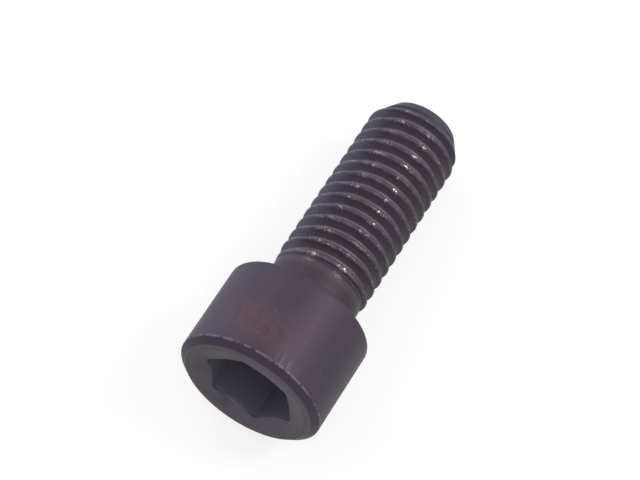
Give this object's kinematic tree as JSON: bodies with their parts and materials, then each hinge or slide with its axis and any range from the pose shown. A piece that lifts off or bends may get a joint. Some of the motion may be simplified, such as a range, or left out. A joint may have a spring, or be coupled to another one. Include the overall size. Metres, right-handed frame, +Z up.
{
  "type": "socket head cap screw",
  "caption": "Socket head cap screw with a plain cylindrical head, a hexagon socket and a full-length coarse metric thread, lying on its side.",
  "frame": {"origin": "centre of the bearing face under the head, on the screw's axis", "axes": "+Z up from the surface the screw lies on; +Y the level direction from head to tip, which the screw's axis dips 6.5 degrees below; +X level, across the screw"},
  "size_m": [0.018, 0.0431, 0.0191],
  "materials": {
    "black_oxide_steel": "black oxide, satin, with faint rust on the head and worn crests"
  },
  "bodies": {
    "root": {"cap_screw": "black_oxide_steel"}
  },
  "joints": []
}
